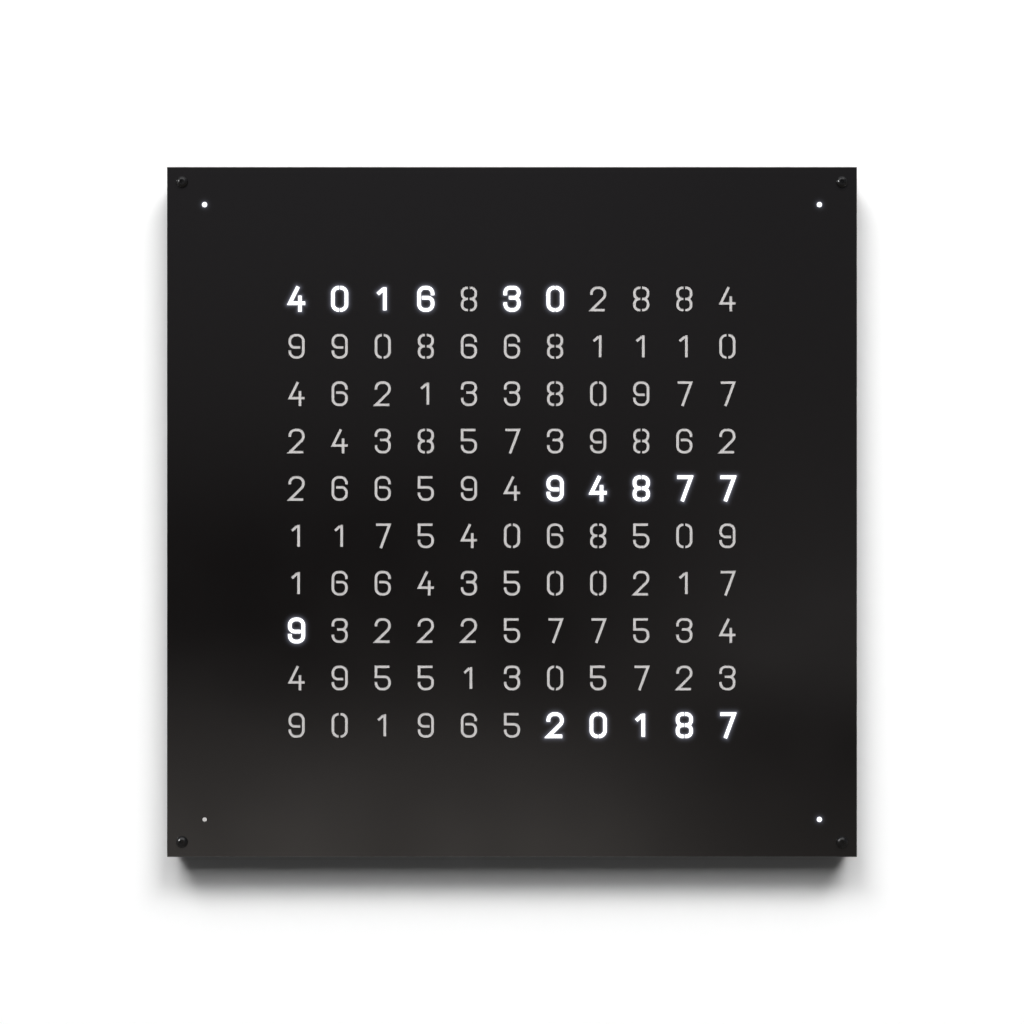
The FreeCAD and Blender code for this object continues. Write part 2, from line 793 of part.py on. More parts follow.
def lead_sockets():
    """Sockets at both ends of the leads: on the minute boards, and behind the ends of the control board."""
    sockets = []
    half_x, half_z = socket_width / 2, socket_length / 2
    for side, level in CORNERS.values():
        x, z = side * (minute_x - minute_socket_distance), level * minute_z
        sockets.append(
            block(x - half_x, x + half_x, strip_front_y - socket_depth, strip_front_y, z - half_z, z + half_z)
        )
    low = lead_y + socket_depth / 2
    for route in lead_runs().values():
        x, z = route[-1]
        inward = math.copysign(1, board_left + board_length / 2 - x)
        near = x
        far = x + inward * socket_length
        reach = lead_run_spacing / 2 - fit_gap
        sockets.append(block(min(near, far), max(near, far), board_rear_y, low, z - reach, z + reach))
    return sockets


def lead_clips():
    """Saddles stuck to the back panel that carry the leads on their long runs."""
    clips = []
    reach = lead_radius + lead_clip_wall
    front = lead_y - reach
    half = lead_clip_width / 2
    for name, (start, corner, end) in lead_runs().items():
        down = abs(corner[1] - start[1]) - 2 * lead_bend_radius
        for k in range(int(down // lead_clip_spacing)):
            z = start[1] + math.copysign((k + 0.5) * lead_clip_spacing, corner[1] - start[1])
            clip = block(start[0] - reach, start[0] + reach, front, back_front_y, z - half, z + half)
            hole = rod(lead_radius + fit_gap, (start[0], lead_y, z - half), (start[0], lead_y, z + half))
            clips.append(clip.cut(hole))
        across = abs(end[0] - corner[0]) - 2 * lead_bend_radius
        for k in range(int(across // lead_clip_spacing)):
            x = corner[0] + math.copysign((k + 0.5) * lead_clip_spacing, end[0] - corner[0])
            clip = block(x - half, x + half, front, back_front_y, corner[1] - reach, corner[1] + reach)
            hole = rod(lead_radius + fit_gap, (x - half, lead_y, corner[1]), (x + half, lead_y, corner[1]))
            clips.append(clip.cut(hole))
    return clips


def hanger_cup(x):
    """Pressed steel cup behind a keyhole, which gives the wall screw's head its room."""
    low = hanger_z - keyhole_slot_length / 2 - keyhole_entry_radius - hanger_cup_end_room
    high = hanger_z + keyhole_slot_length / 2 + keyhole_entry_radius + hanger_cup_end_room
    wall = hanger_cup_wall
    side = hanger_cup_side_room
    floor = back_front_y - hanger_cup_depth
    outer = block(x - side - wall, x + side + wall, floor - wall, back_front_y, low - wall, high + wall)
    reach = side + wall + hanger_ear_length
    half = hanger_ear_height / 2
    ears = block(x - reach, x + reach, back_front_y - wall, back_front_y, hanger_z - half, hanger_z + half)
    room = block(x - side, x + side, floor, back_front_y, low, high)
    cup = outer.fuse(ears).cut(room)
    holes = [
        bore_y(rivet_radius + fit_gap, rx, rz, back_front_y - wall, back_front_y)
        for rx, rz in rivet_places()
        if abs(rx - x) < reach
    ]
    return cup.cut(holes).removeSplitter()


def rivet(x, z):
    """Rivet through a hanger cup's ear and the back panel, flush at the rear."""
    seat = back_front_y - hanger_cup_wall
    head = bore_y(rivet_head_radius, x, z, seat - rivet_head_height, seat)
    return head.fuse(bore_y(rivet_radius, x, z, seat, 0)).removeSplitter()


def power_recess():
    """Moulded recess that holds the power plug flush in the back, with a channel for its cable."""
    floor = recess_floor_y
    rear = -recess_lip_setback
    wall = recess_wall
    outer = block(
        recess_left - wall, recess_right + wall, floor - wall, rear, recess_bottom - wall, recess_top + wall
    )
    end = -inner_half_z
    channel_right = recess_left + channel_width
    channel_floor = -channel_depth
    outer = outer.fuse(
        block(recess_left - wall, channel_right + wall, channel_floor - wall, rear, end, recess_bottom)
    )
    half = recess_ear_height / 2
    for x, _ in ear_screw_places():
        reach = recess_ear_length / 2 + wall / 2
        middle = x + math.copysign(wall / 2, recess_left - x if x < recess_left else recess_right - x)
        ear_front = back_front_y - recess_ear_thickness
        ear = block(middle - reach, middle + reach, ear_front, back_front_y, jack_z - half, jack_z + half)
        outer = outer.fuse(ear)
    room = block(recess_left, recess_right, floor, 0, recess_bottom, recess_top)
    room = room.fuse(block(recess_left, channel_right, channel_floor, 0, end, recess_bottom))
    mouth_radius = jack_bore_radius + jack_mouth_clearance
    mouth = rod(mouth_radius, (recess_right, jack_y, jack_z), (recess_right + wall, jack_y, jack_z))
    screws = [
        bore_y(machine_screw_radius + fit_gap, x, z, 0, back_front_y - recess_ear_thickness)
        for x, z in ear_screw_places()
    ]
    return outer.cut([room, mouth] + screws).removeSplitter()


def power_jack():
    """Power jack on the front of the control board, its mouth facing the recess."""
    x = jack_face_x
    half = jack_width / 2
    body = block(x, x + jack_length, board_front_y - jack_height, board_front_y, jack_z - half, jack_z + half)
    return body.cut(rod(jack_bore_radius, (x, jack_y, jack_z), (x + jack_bore_depth, jack_y, jack_z)))


def power_pin():
    """Centre pin of the power jack."""
    x = jack_face_x
    return rod(jack_pin_radius, (x + jack_pin_recess, jack_y, jack_z), (x + jack_bore_depth, jack_y, jack_z))


def control_board():
    """Circuit board of the clock, with its fixing holes."""
    board = block(board_left, board_right, board_front_y, board_rear_y, board_bottom, board_top)
    hole = machine_screw_radius + fit_gap
    return board.cut([bore_y(hole, x, z, board_front_y, board_rear_y) for x, z in standoff_places()])


def standoff(x, z):
    """Threaded standoff pressed into the back panel."""
    post = bore_y(standoff_radius, x, z, board_rear_y, back_front_y)
    return post.cut(bore_y(machine_screw_radius + fit_gap, x, z, board_rear_y, back_front_y))


def board_screw(x, z):
    """Pan-head screw that holds the control board to a standoff."""
    head = bore_y(board_screw_head_radius, x, z, board_front_y - board_screw_head_height, board_front_y)
    shank = bore_y(machine_screw_radius, x, z, board_front_y, board_front_y + board_screw_length)
    half = driver_slot_length / 2
    slot = block(
        x - half,
        x + half,
        board_front_y - board_screw_head_height,
        board_front_y - board_screw_head_height + driver_slot_depth,
        z - driver_slot_width / 2,
        z + driver_slot_width / 2,
    )
    return head.fuse(shank).cut(slot).removeSplitter()


def set_button(x, z):
    """Set button: a cap flush in the back, a flange that keeps it in, and a stem to its switch."""
    flange_rear = back_front_y - button_rest_gap
    cap = bore_y(button_radius, x, z, flange_rear, -button_recess)
    flange = bore_y(button_flange_radius, x, z, button_flange_front_y, flange_rear)
    stem = bore_y(button_stem_radius, x, z, button_flange_front_y - button_stem_length, button_flange_front_y)
    return cap.fuse([flange, stem]).removeSplitter()


def switch_body(x, z):
    """Push switch on the rear of the control board, with the well its button's stem enters.

    It stops short of the button's flange, and its well goes deeper than the stem, at the end of the travel.
    """
    half = switch_side / 2
    rear = button_flange_front_y - button_travel - switch_clearance
    well_end = button_flange_front_y - button_stem_length - button_travel - button_stem_end_gap
    body = block(x - half, x + half, board_rear_y, rear, z - half, z + half)
    return body.cut(bore_y(button_stem_radius + button_clearance, x, z, well_end, rear))


def cell_place():
    """Centre of the back-up cell on the control board."""
    reach = board_screw_head_radius + part_spacing + cell_radius + cell_holder_wall
    return board_left + standoff_end_distance + reach, (board_bottom + board_top) / 2


def cell_holder():
    """Round holder of the back-up cell."""
    x, z = cell_place()
    front = board_front_y - cell_holder_floor - cell_thickness
    holder = bore_y(cell_radius + cell_holder_wall, x, z, front, board_front_y)
    return holder.cut(bore_y(cell_radius + fit_gap, x, z, front, board_front_y - cell_holder_floor))


def back_up_cell():
    """Coin cell in its holder."""
    x, z = cell_place()
    seat = board_front_y - cell_holder_floor
    return bore_y(cell_radius, x, z, seat - cell_thickness, seat)


def processor_left():
    """Left edge of the processor, beside the cell's holder."""
    return cell_place()[0] + cell_radius + cell_holder_wall + chip_spacing


def board_chips():
    """Processor in the middle of the control board and lamp drivers beside it."""
    z = (board_bottom + board_top) / 2
    left = processor_left()
    right = left + processor_side
    half = processor_side / 2
    chips = [block(left, right, board_front_y - processor_height, board_front_y, z - half, z + half)]
    left = right + chip_spacing
    right = left + driver_chip_length
    front = board_front_y - driver_chip_height
    half = driver_chip_width / 2
    for k in range(driver_chips):
        level = z + (k - (driver_chips - 1) / 2) * (driver_chip_width + chip_spacing)
        chips.append(block(left, right, front, board_front_y, level - half, level + half))
    return chips


def timing_crystal():
    """Quartz can that paces the clock, lying beside the processor."""
    x = processor_left()
    r = crystal_radius
    y = board_front_y - r
    z = (board_bottom + board_top) / 2 + processor_side / 2 + part_spacing + r
    can = rod(r, (x, y, z), (x + crystal_length, y, z))
    foot = block(x, x + crystal_length, y, board_front_y, z - r, z + r)
    return can.fuse(foot).removeSplitter()


def capacitors():
    """Two smoothing capacitors beside the power jack."""
    x = board_left + part_spacing + capacitor_radius
    first = jack_z + jack_width / 2 + part_spacing + capacitor_radius
    places = [first, first + 2 * capacitor_radius + part_spacing]
    return [bore_y(capacitor_radius, x, z, board_front_y - capacitor_height, board_front_y) for z in places]


def ribbon_socket():
    """Socket on the control board under the end of the ribbon."""
    bottom, top = ribbon_socket_place()
    half = plug_block_width / 2
    return block(ribbon_x - half, ribbon_x + half, plug_block_front_y, board_front_y, bottom, top)


def all_nodes():
    """Every piece of the clock by name. A list is a group of like pieces in one node."""
    nodes = {
        "front_panel": front_panel(),
        "panel_screws": [panel_screw(s * panel_screw_x, v * panel_screw_z) for s, v in CORNERS.values()],
        "panel_inserts": [panel_insert(s * panel_screw_x, v * panel_screw_z) for s, v in CORNERS.values()],
        "diffuser_sheet": diffuser_sheet(),
        "light_grid": light_grid(),
        "row_lamps": row_lamps(),
        "ribbon_connectors": strip_plug_blocks() + [ribbon_socket()],
        "lamp_ribbon": ribbon(),
        "minute_lamps": [minute_lamp(s, v) for s, v in CORNERS.values()],
        "lead_sockets": lead_sockets(),
        "lead_clips": lead_clips(),
        "frame_dowels": [dowel(s, v, 0) for s, v in CORNERS.values()],
        "back_panel": back_panel(),
        "back_screws": [
            countersunk_screw(x, z, wood_screw_radius, wood_screw_length)
            for x, z in back_screw_places()
        ],
        "module_screws": [
            countersunk_screw(x, z, machine_screw_radius, machine_screw_length)
            for x, z in machine_screw_places()
        ],
        "hanger_cup_left": hanger_cup(-hanger_spacing / 2),
        "hanger_cup_right": hanger_cup(hanger_spacing / 2),
        "hanger_rivets": [rivet(x, z) for x, z in rivet_places()],
        "power_recess": power_recess(),
        "power_jack": power_jack(),
        "power_pin": power_pin(),
        "control_board": control_board(),
        "board_standoffs": [standoff(x, z) for x, z in standoff_places()],
        "board_screws": [board_screw(x, z) for x, z in standoff_places()],
        "board_chips": board_chips(),
        "timing_crystal": timing_crystal(),
        "capacitors": capacitors(),
        "cell_holder": cell_holder(),
        "back_up_cell": back_up_cell(),
        "button_switches": [switch_body(x, z) for x, z in button_places()],
    }
    nodes.update(rails())
    for row in range(rows):
        nodes[f"lamp_strip_{row + 1:02d}"] = lamp_strip(row)
    for name, (side, level) in CORNERS.items():
        nodes[f"minute_board_{name}"] = minute_board(side, level)
        nodes[f"minute_tube_{name}"] = minute_tube(side, level)
        nodes[f"minute_lead_{name}"] = minute_lead(lead_runs()[name])
    for name, (x, z) in zip(("hour", "minute", "brightness", "mode"), button_places()):
        nodes[f"{name}_button"] = set_button(x, z)
    return nodes


os.makedirs("parts", exist_ok=True)
for node, shape in all_nodes().items():
    if isinstance(shape, list):
        shape = Part.makeCompound(shape)
    shape.exportStep(f"parts/{node}.step")
print(f"front panel {2 * panel_half_x:.1f} x {2 * panel_half_z:.1f} mm, depth {-panel_front_y:.1f} mm")
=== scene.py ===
import math

import bmesh
import bpy
import numpy as np
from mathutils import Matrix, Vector
from mathutils.bvhtree import BVHTree
from mathutils.geometry import delaunay_2d_cdt


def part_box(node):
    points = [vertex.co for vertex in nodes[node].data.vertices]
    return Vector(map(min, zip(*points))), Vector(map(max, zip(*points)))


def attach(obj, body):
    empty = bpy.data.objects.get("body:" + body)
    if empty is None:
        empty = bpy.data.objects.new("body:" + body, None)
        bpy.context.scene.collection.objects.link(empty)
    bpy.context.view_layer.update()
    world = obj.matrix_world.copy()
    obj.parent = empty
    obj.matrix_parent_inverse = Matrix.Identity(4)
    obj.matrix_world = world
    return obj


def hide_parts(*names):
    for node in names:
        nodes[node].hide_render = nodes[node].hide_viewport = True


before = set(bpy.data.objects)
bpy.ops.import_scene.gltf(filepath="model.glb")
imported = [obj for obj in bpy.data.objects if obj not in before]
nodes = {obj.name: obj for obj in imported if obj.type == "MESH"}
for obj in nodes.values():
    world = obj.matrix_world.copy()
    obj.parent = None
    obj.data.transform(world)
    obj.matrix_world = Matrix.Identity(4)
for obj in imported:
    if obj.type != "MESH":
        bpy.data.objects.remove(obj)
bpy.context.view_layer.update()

# The room: a pale wall right behind the clock and a pale floor well below it. Both are seen from their
# front only, so that views from behind and from below see the clock. A square opening in the wall, inside
# the clock's own outline, lets light from behind reach the back of the clock.
WALL_GAP = 0.0004
WALL_REACH = 6.0
WALL_OPENING = 0.2212
FLOOR_DROP = 0.62
FLOOR_REACH = 2.4
PALE = "F4F4F4"


def linear(hex_colour):
    """Linear colour with full alpha from an sRGB hex string."""
    values = [int(hex_colour[i : i + 2], 16) / 255 for i in (0, 2, 4)]
    return [v / 12.92 if v <= 0.04045 else ((v + 0.055) / 1.055) ** 2.4 for v in values] + [1.0]


def add(tree, kind, settings=(), links=(), **attributes):
    """Adds a node with attributes, socket values and links {its socket: another node's socket}.

    A socket value that is a string is an sRGB hex colour.
    """
    made = tree.nodes.new(kind)
    for name, value in attributes.items():
        setattr(made, name, value)
    for socket, value in dict(settings).items():
        made.inputs[socket].default_value = linear(value) if isinstance(value, str) else value
    for socket, source in dict(links).items():
        tree.links.new(source, made.inputs[socket])
    return made


def empty_material(name):
    """A material with an empty node tree, and that tree."""
    material = bpy.data.materials.new(name)
    material.use_nodes = True
    material.node_tree.nodes.clear()
    return material, material.node_tree


def mesh_piece(name, points, faces):
    """A new mesh object at the origin, from points and faces in metres in the clock's own frame."""
    mesh = bpy.data.meshes.new(name)
    mesh.from_pydata([tuple(p) for p in np.asarray(points, float).reshape(-1, 3)], [], faces)
    mesh.update()
    piece = bpy.data.objects.new(name, mesh)
    bpy.context.scene.collection.objects.link(piece)
    return piece


def pale_stage_material():
    """Matt wall paint, seen and casting shade only from its front: it keeps the clock's shadow."""
    material, tree = empty_material("pale matt wall paint")
    path = add(tree, "ShaderNodeLightPath")
    geometry = add(tree, "ShaderNodeNewGeometry")
    coords = add(tree, "ShaderNodeTexCoord")
    grain = {"Scale": 90.0, "Detail": 3.0}
    roller = add(tree, "ShaderNodeTexNoise", grain, {"Vector": coords.outputs["Object"]})
    relief = {"Strength": 0.02, "Distance": 0.0004}
    bump = add(tree, "ShaderNodeBump", relief, {"Height": roller.outputs["Fac"]})
    paint = add(tree, "ShaderNodeBsdfDiffuse", {"Color": PALE}, {"Normal": bump.outputs["Normal"]})
    clear = add(tree, "ShaderNodeBsdfTransparent")
    sides = {0: geometry.outputs["Backfacing"], 1: path.outputs["Is Shadow Ray"]}
    unseen = add(tree, "ShaderNodeMath", links=sides, operation="MAXIMUM")
    mixed = add(
        tree, "ShaderNodeMixShader", links={0: unseen.outputs[0], 1: paint.outputs[0], 2: clear.outputs[0]}
    )
    add(tree, "ShaderNodeOutputMaterial", links={"Surface": mixed.outputs[0]})
    return material


stage_paint = pale_stage_material()
square = ((-1, -1), (1, -1), (1, 1), (-1, 1))
wall_points = [(x * WALL_REACH, WALL_GAP, max(z * WALL_REACH, -FLOOR_DROP)) for x, z in square]
wall_points += [(x * WALL_OPENING, WALL_GAP, z * WALL_OPENING) for x, z in square]
wall = mesh_piece("room_wall", wall_points, [(0, 1, 5, 4), (1, 2, 6, 5), (2, 3, 7, 6), (3, 0, 4, 7)])
floor_plan = (
    (-FLOOR_REACH, WALL_GAP),
    (-FLOOR_REACH, -FLOOR_REACH),
    (FLOOR_REACH, -FLOOR_REACH),
    (FLOOR_REACH, WALL_GAP),
)
floor = mesh_piece("room_floor", [(x, y, -FLOOR_DROP) for x, y in floor_plan], [(0, 1, 2, 3)])
for stage_piece in (wall, floor):
    stage_piece.data.materials.append(stage_paint)
floor.visible_diffuse = False
floor.visible_glossy = False

# The camera looks straight at the middle of the face from about two metres, as the photograph does.
LENS = 100.0
SENSOR = 36.0
PHOTO_PIXELS = 1024
FACE_PIXELS = 690
face_low, face_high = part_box("front_panel")
face_width = face_high.x - face_low.x
face_front = face_low.y
camera_data = bpy.data.cameras.new("camera")
camera_data.lens = LENS
camera_data.sensor_width = SENSOR
camera = bpy.data.objects.new("camera", camera_data)
camera.location = (0, face_front - face_width / (FACE_PIXELS / PHOTO_PIXELS) * LENS / SENSOR, 0)
camera.rotation_euler = (math.radians(90), 0, 0)
bpy.context.scene.collection.objects.link(camera)
bpy.context.scene.camera = camera

# The light: two soft boxes high in front, a broad one between them, a small lamp on the left that glints on
# the screws, one behind for the back, and an even sky. The boxes' heights and sizes set how far the shadow
# falls and how soft it is. Glossy surfaces mirror a graded room instead of the first two boxes.
KEY_ASIDE = 0.6
KEY_RISE = 1.42
KEY_DISTANCE = 12.8
KEY_WIDTH = 6.4
KEY_DEPTH = 4.0
KEY_POWER = 1185.0
BROAD_RISE = 1.15
BROAD_WIDTH = 17.0
BROAD_DEPTH = 12.0
BROAD_POWER = 1290.0
GLINT_DIRECTION = (-1.3, -1.0, 0.6)
GLINT_DISTANCE = 3.0
GLINT_SIDE = 0.16
GLINT_POWER = 70.0
BACK_DIRECTION = (0.35, 1.0, 0.75)
BACK_DISTANCE = 4.0
BACK_WIDTH = 4.0
BACK_DEPTH = 3.0
BACK_POWER = 300.0
SKY = 0.06
ROOM_SPAN = 0.15
ROOM_TURN = 0.1
ROOM_LEFT = [(0.0, 0.25), (0.03, 1.0), (0.08, 1.15), (0.13, 0.95), (0.19, 0.62), (0.27, 0.2)]
ROOM_LEFT += [(0.34, 0.0), (0.46, 0.0), (0.54, 0.12), (0.64, 0.21), (0.82, 0.26), (1.0, 0.3)]
ROOM_RIGHT = [(0.0, 0.25), (0.03, 0.5), (0.1, 0.27), (0.19, 0.04), (0.27, 0.1), (0.35, 0.55)]
ROOM_RIGHT += [(0.43, 0.24), (0.6, 0.19), (0.82, 0.22), (1.0, 0.24)]


def soft_box(name, direction, distance, width, depth, power, tint):
    """A rectangular lamp that faces the clock from a direction."""
    data = bpy.data.lights.new(name, "AREA")
    data.shape = "RECTANGLE"
    data.size = width
    data.size_y = depth
    data.energy = power
    data.color = linear(tint)[:3]
    lamp = bpy.data.objects.new(name, data)
    away = Vector(direction).normalized()
    lamp.location = away * distance
    lamp.rotation_euler = away.to_track_quat("Z", "Y").to_euler()
    bpy.context.scene.collection.objects.link(lamp)
    return lamp


for name, side in (("key_left", -1), ("key_right", 1)):
    toward = (side * KEY_ASIDE, -1, KEY_RISE)
    key = soft_box(name, toward, KEY_DISTANCE, KEY_WIDTH, KEY_DEPTH, KEY_POWER, "FFFFFF")
    key.visible_glossy = False
soft_box("broad", (0, -1, BROAD_RISE), KEY_DISTANCE, BROAD_WIDTH, BROAD_DEPTH, BROAD_POWER, "FFFFFF")
glint = soft_box("glint", GLINT_DIRECTION, GLINT_DISTANCE, GLINT_SIDE, GLINT_SIDE, GLINT_POWER, "FFFFFF")
glint.visible_diffuse = False
soft_box("back", BACK_DIRECTION, BACK_DISTANCE, BACK_WIDTH, BACK_DEPTH, BACK_POWER, "FBFCFF")


def graded_world():
    """White to the camera, an even dim sky to matt surfaces, and the graded room to glossy ones.

    The room's brightness runs from bottom to top along one ramp on its left and another on its right.
    """
    world = bpy.data.worlds.new("studio")
    world.use_nodes = True
    tree = world.node_tree
    tree.nodes.clear()
    path = add(tree, "ShaderNodeLightPath")
    coords = add(tree, "ShaderNodeTexCoord")
    split = add(tree, "ShaderNodeSeparateXYZ", links={0: coords.outputs["Generated"]})
    span = {"From Min": -ROOM_SPAN, "From Max": ROOM_SPAN}
    height = add(tree, "ShaderNodeMapRange", span, {"Value": split.outputs["Z"]}).outputs[0]
    right = add(
        tree,
        "ShaderNodeMapRange",
        {"From Min": 0.0, "From Max": ROOM_TURN},
        {"Value": split.outputs["X"]},
        interpolation_type="SMOOTHSTEP",
    )
    levels = add(tree, "ShaderNodeMix", links={0: right.outputs[0]}, data_type="RGBA")
    for place, stops in ((6, ROOM_LEFT), (7, ROOM_RIGHT)):
        ramp = add(tree, "ShaderNodeValToRGB", links={"Fac": height})
        ramp.color_ramp.interpolation = "EASE"
        while len(ramp.color_ramp.elements) < len(stops):
            ramp.color_ramp.elements.new(0.5)
        for element, (position, level) in zip(ramp.color_ramp.elements, stops):
            element.position = position
            element.color = (level, level, level, 1)
        tree.links.new(ramp.outputs["Color"], levels.inputs[place])
    tint = add(tree, "ShaderNodeMix", {6: "FFF6EC", 7: "F4F4FF"}, {0: height}, data_type="RGBA")
    room = add(tree, "ShaderNodeBackground", links={"Color": tint.outputs[2], "Strength": levels.outputs[2]})
    sky = add(tree, "ShaderNodeBackground", {"Color": "FFFFFF", "Strength": SKY})
    white = add(tree, "ShaderNodeBackground", {"Color": "FFFFFF", "Strength": 1.0})
    glossy = add(
        tree,
        "ShaderNodeMixShader",
        links={0: path.outputs["Is Glossy Ray"], 1: sky.outputs[0], 2: room.outputs[0]},
    )
    sides = {0: path.outputs["Is Camera Ray"], 1: path.outputs["Is Transmission Ray"]}
    seen = add(tree, "ShaderNodeMath", links=sides, operation="MAXIMUM")
    mixed = add(
        tree, "ShaderNodeMixShader", links={0: seen.outputs[0], 1: glossy.outputs[0], 2: white.outputs[0]}
    )
    add(tree, "ShaderNodeOutputWorld", links={"Surface": mixed.outputs[0]})
    bpy.context.scene.world = world


graded_world()
bpy.context.scene.view_settings.view_transform = "Standard"

# The front panel: 2 mm steel sheet, cut by laser and coated satin black. Its front face is made again
# with points close together round the lit figures, so that it can carry a painted halo: a soft glow that
# the coat itself gives off round them, as if their light spilled onto it. Everything else of the sheet,
# the cut walls, broken edges and rear, is the frame's own.
COLUMNS = 11
ROWS = 10
CELL_WALL = 0.002
LIT_RUNS = [(0, 0, 3), (0, 5, 6), (4, 6, 10), (7, 0, 0), (9, 6, 10)]
LIT_MINUTES = [(-1, 1), (1, 1), (1, -1)]
# The halo is painted glow: the coat gives off light round the lit cuts, in a bright rim and a soft tail.
HALO_REACH = 0.0048
HALO_FADE = 0.0015
HALO_RIM = 0.00033
HALO_TAIL = 0.00082
HALO_TAIL_SHARE = 0.24
HALO_LIMIT = 1.2
HALO_FINE = 0.0004
HALO_COARSE = 0.0012
HALO_NEAR = 0.0013
MINUTE_INSET = 0.0245
MINUTE_HALO = 0.45
MINUTE_REACH = 0.008
MERGE = 1e-6
JOIN = 1e-8
PROBE = 0.01
PAIRS_AT_ONCE = 2_000_000
LEAST_SQUARE = 1e-18

grid_low, grid_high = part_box("light_grid")
column_pitch = (grid_high.x - grid_low.x - CELL_WALL) / COLUMNS
row_pitch = (grid_high.z - grid_low.z - CELL_WALL) / ROWS
minute_x = face_high.x - MINUTE_INSET
minute_z = face_high.z - MINUTE_INSET


def lit_boxes():
    """The lit cells and the spaces round the lit minute holes.

    Each is (low x, high x, low z, high z, share of the full halo).
    """
    boxes = []
    for row, first, last in LIT_RUNS:
        for column in range(first, last + 1):
            x = (column - (COLUMNS - 1) / 2) * column_pitch
            z = ((ROWS - 1) / 2 - row) * row_pitch
            half_x, half_z = column_pitch / 2, row_pitch / 2
            boxes.append((x - half_x, x + half_x, z - half_z, z + half_z, 1.0))
    for side, level in LIT_MINUTES:
        x, z, half = side * minute_x, level * minute_z, MINUTE_REACH
        boxes.append((x - half, x + half, z - half, z + half, MINUTE_HALO))
    return boxes


def inside(points, box):
    """Which of the (x, z) points lie in a box."""
    x0, x1, z0, z1, _ = box
    return (points[:, 0] > x0) & (points[:, 0] < x1) & (points[:, 1] > z0) & (points[:, 1] < z1)


def distance_to_edges(points, edges):
    """Distance from each point to the nearest of the straight edges, all in one plane.

    Each point is projected on each edge's line, held between its ends, and the shortest gap is kept.
    """
    start, end = edges[:, 0], edges[:, 1]
    along = end - start
    squared = np.maximum((along**2).sum(1), LEAST_SQUARE)
    nearest = np.full(len(points), np.inf)
    for part in np.array_split(np.arange(len(points)), 1 + len(points) * len(edges) // PAIRS_AT_ONCE):
        offset = points[part, None, :] - start[None]
        share = np.clip((offset * along[None]).sum(2) / squared[None], 0, 1)
        gap = offset - share[..., None] * along[None]
        nearest[part] = np.sqrt((gap**2).sum(2)).min(1)
    return nearest


def halo_level(distance):
    """How bright the painted halo glow is at a distance from a lit cut: a bright bell-shaped rim and a soft
    tail.
    """
    level = np.exp(-((distance / HALO_RIM) ** 2)) + HALO_TAIL_SHARE * np.exp(-distance / HALO_TAIL)
    fade = np.clip((HALO_REACH - distance) / HALO_FADE, 0, 1)
    return np.minimum(level, HALO_LIMIT) * fade


def halo_points(box, edges):
    """Points of a lit box for the front face: close together beside the cut, further apart beyond."""
    x0, x1, z0, z1, _ = box
    grid_x, grid_z = np.meshgrid(np.arange(x0, x1, HALO_FINE), np.arange(z0, z1, HALO_FINE))
    points = np.stack([grid_x.ravel(), grid_z.ravel()], 1)
    away = distance_to_edges(points, edges)
    step = round(HALO_COARSE / HALO_FINE)
    sparse = np.zeros(grid_x.shape, bool)
    sparse[::step, ::step] = True
    far = sparse.ravel() & (away < HALO_REACH + HALO_COARSE)
    return points[(away > HALO_FINE / 2) & ((away < HALO_NEAR) | far)]


def renewed_front(work):
    """Makes the sheet's front face again with the halo's points, and returns the edges of the lit cuts."""
    work.verts.index_update()
    work.verts.ensure_lookup_table()
    front = [f for f in work.faces if all(v.co.y < face_front + MERGE for v in f.verts)]
    old = BVHTree.FromPolygons([v.co for v in work.verts], [[v.index for v in f.verts] for f in front])
    in_front = set(front)
    rim = [e for e in work.edges if sum(f in in_front for f in e.link_faces) == 1]
    rim_verts = sorted({v.index for e in rim for v in e.verts})
    place = {index: k for k, index in enumerate(rim_verts)}
    pairs = [(place[e.verts[0].index], place[e.verts[1].index]) for e in rim]
    flat = np.array([(work.verts[i].co.x, work.verts[i].co.z) for i in rim_verts])
    segments = flat[np.array(pairs)]
    lit = [(box, segments[inside(segments.mean(1), box)]) for box in lit_boxes()]
    points = np.concatenate([flat] + [halo_points(box, own) for box, own in lit])
    made, _, triangles, *_ = delaunay_2d_cdt([Vector(p) for p in points], pairs, [], 0, JOIN)
    bmesh.ops.delete(work, geom=front, context="FACES_ONLY")
    new_verts = [work.verts.new((p.x, face_front, p.y)) for p in made]
    for a, b, c in triangles:
        centre = (made[a] + made[b] + made[c]) / 3
        above = Vector((centre.x, face_front - PROBE, centre.y))
        if old.ray_cast(above, Vector((0, 1, 0)), 2 * PROBE)[0] is not None:
            face = work.faces.new((new_verts[a], new_verts[b], new_verts[c]))
            face.normal_update()
            if face.normal.y > 0:
                face.normal_flip()
    bmesh.ops.delete(work, geom=[v for v in new_verts if not v.link_faces], context="VERTS")
    return np.concatenate([own for _, own in lit])


def panel_piece():
    """The front panel, whose front face knows how bright its painted halo glow is at each point."""
    work = bmesh.new()
    work.from_mesh(nodes["front_panel"].data)
    bmesh.ops.remove_doubles(work, verts=work.verts, dist=MERGE)
    lit_edges = renewed_front(work)
    bmesh.ops.remove_doubles(work, verts=work.verts, dist=MERGE)
    mesh = bpy.data.meshes.new("front_panel_sheet")
    work.to_mesh(mesh)
    work.free()
    where = np.zeros(len(mesh.vertices) * 3)
    mesh.vertices.foreach_get("co", where)
    where = where.reshape(-1, 3)
    flat = where[:, [0, 2]]
    # Painted glow: how strongly the coat shines at each point of its front face, round the lit cuts.
    glow = np.zeros(len(where), np.float32)
    for box in lit_boxes():
        near = (where[:, 1] < face_front + MERGE) & inside(flat, box)
        glow[near] = box[-1] * halo_level(distance_to_edges(flat[near], lit_edges))
    mesh.attributes.new("halo", "FLOAT", "POINT").data.foreach_set("value", glow)
    piece = bpy.data.objects.new("front_panel_sheet", mesh)
    bpy.context.scene.collection.objects.link(piece)
    return piece


